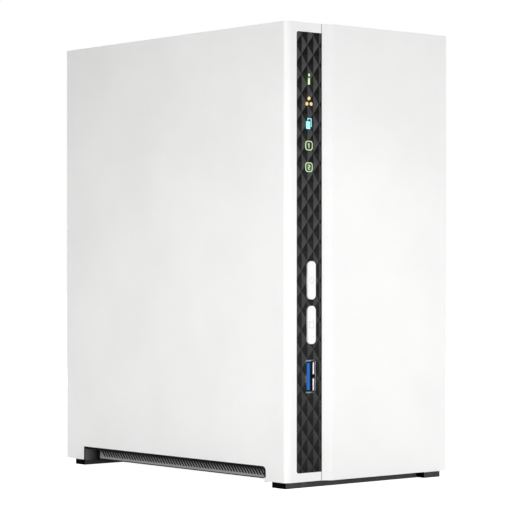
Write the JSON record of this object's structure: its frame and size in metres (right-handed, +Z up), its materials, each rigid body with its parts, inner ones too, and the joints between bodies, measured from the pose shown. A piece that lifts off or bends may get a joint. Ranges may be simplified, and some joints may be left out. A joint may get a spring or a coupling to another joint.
{
  "type": "network attached storage",
  "caption": "Upright desktop storage unit with a white case, a black faceted strip of lit signs and buttons, a front USB socket and a removable side cover.",
  "frame": {"origin": "on the surface it stands on, under the middle of the case", "axes": "+Z up, -Y is the front with the signs and buttons, +X is the side with the removable cover"},
  "size_m": [0.0902, 0.1562, 0.191],
  "materials": {
    "white_plastic": "fine satin texture",
    "dark_plastic": "fine texture",
    "strip_plastic": "faceted, semi gloss",
    "foot_rubber": "matte",
    "status_glow": "lit",
    "network_glow": "lit",
    "copy_glow": "lit",
    "drive_glow": "lit",
    "clear_plastic": "clear",
    "led_plastic": "moulded",
    "port_steel": "tin plated",
    "blue_plastic": "moulded",
    "black_plastic": "moulded",
    "gold_contacts": "gold plated",
    "circuit_board": "solder mask",
    "chip_black": "moulded",
    "sink_aluminium": "extruded",
    "battery_steel": "satin",
    "cage_steel": "galvanised",
    "drive_aluminium": "cast",
    "lid_steel": "satin",
    "magnet_iron": "sintered",
    "shaft_steel": "ground",
    "bearing_brass": "sintered",
    "coil_copper": "enamelled copper winding",
    "screw_steel": "plated",
    "black_steel": "blackened"
  },
  "bodies": {
    "chassis": {"left_shell": "white_plastic", "base_tray": "dark_plastic", "left_vent": "dark_plastic", "front_strip": "strip_plastic", "rear_panel": "white_plastic", "front_foot": "foot_rubber", "rear_foot": "foot_rubber", "status_light": "status_glow", "network_light": "network_glow", "copy_light": "copy_glow", "drive_1_light": "drive_glow", "drive_2_light": "drive_glow", "light_guide": "clear_plastic", "indicator_leds": "led_plastic", "button_switches": "port_steel", "front_usb_shell": "port_steel", "front_usb_tongue": "blue_plastic", "front_usb_contacts": "gold_contacts", "main_board": "circuit_board", "processor": "chip_black", "heat_sink": "sink_aluminium", "memory_chips": "chip_black", "clock_battery": "battery_steel", "battery_holder": "black_plastic", "network_jack": "port_steel", "rear_usb_shells": "port_steel", "rear_usb_tongues": "black_plastic", "rear_contacts": "gold_contacts", "power_jack": "black_plastic", "power_pin": "port_steel", "reset_switch": "port_steel", "link_connectors": "black_plastic", "drive_backplane": "circuit_board", "drive_connectors": "black_plastic", "drive_cage": "cage_steel", "drive_1_casting": "drive_aluminium", "drive_2_casting": "drive_aluminium", "drive_lids": "lid_steel", "drive_boards": "circuit_board", "fan_frame": "black_plastic", "fan_bearing": "bearing_brass", "fan_stator": "coil_copper", "fan_lead": "black_plastic", "fan_plug": "white_plastic", "case_screws": "screw_steel", "drive_screws": "screw_steel", "fan_screws": "black_steel", "chassis_screws": "screw_steel"},
    "cover": {"right_cover": "white_plastic", "right_vent": "dark_plastic", "cover_feet": "foot_rubber"},
    "power_key": {"power_button": "white_plastic"},
    "copy_key": {"copy_button": "white_plastic"},
    "power_plunge": {"power_plunger": "dark_plastic"},
    "copy_plunge": {"copy_plunger": "dark_plastic"},
    "reset_plunge": {"reset_plunger": "dark_plastic"},
    "rotor": {"fan_rotor": "black_plastic", "fan_magnet": "magnet_iron", "fan_shaft": "shaft_steel"}
  },
  "joints": [
    {"name": "cover_slide", "type": "slide", "parent": "chassis", "child": "cover", "axis": [0, -1, 0], "range_m": [0, 0.165]},
    {"name": "power_press", "type": "slide", "parent": "chassis", "child": "power_key", "axis": [0, 1, 0], "range_m": [0, 0.0005], "stiffness_N_per_m": 1500, "springref_m": -0.0003},
    {"name": "copy_press", "type": "slide", "parent": "chassis", "child": "copy_key", "axis": [0, 1, 0], "range_m": [0, 0.0005], "stiffness_N_per_m": 1500, "springref_m": -0.0003},
    {"name": "power_plunge_in", "type": "slide", "parent": "chassis", "child": "power_plunge", "axis": [0, 1, 0], "range_m": [0, 0.0005]},
    {"name": "copy_plunge_in", "type": "slide", "parent": "chassis", "child": "copy_plunge", "axis": [0, 1, 0], "range_m": [0, 0.0005]},
    {"name": "reset_press", "type": "slide", "parent": "chassis", "child": "reset_plunge", "axis": [0, -1, 0], "range_m": [0, 0.0003], "stiffness_N_per_m": 1500, "springref_m": -0.0003},
    {"name": "fan_spin", "type": "hinge", "parent": "chassis", "child": "rotor", "pos_m": [0.00825, 0.0656, 0.118], "axis": [0, 1, 0], "continuous": true}
  ],
  "couplings": [
    {"joint": "power_plunge_in", "follows": "power_press", "ratio": 1},
    {"joint": "copy_plunge_in", "follows": "copy_press", "ratio": 1}
  ]
}
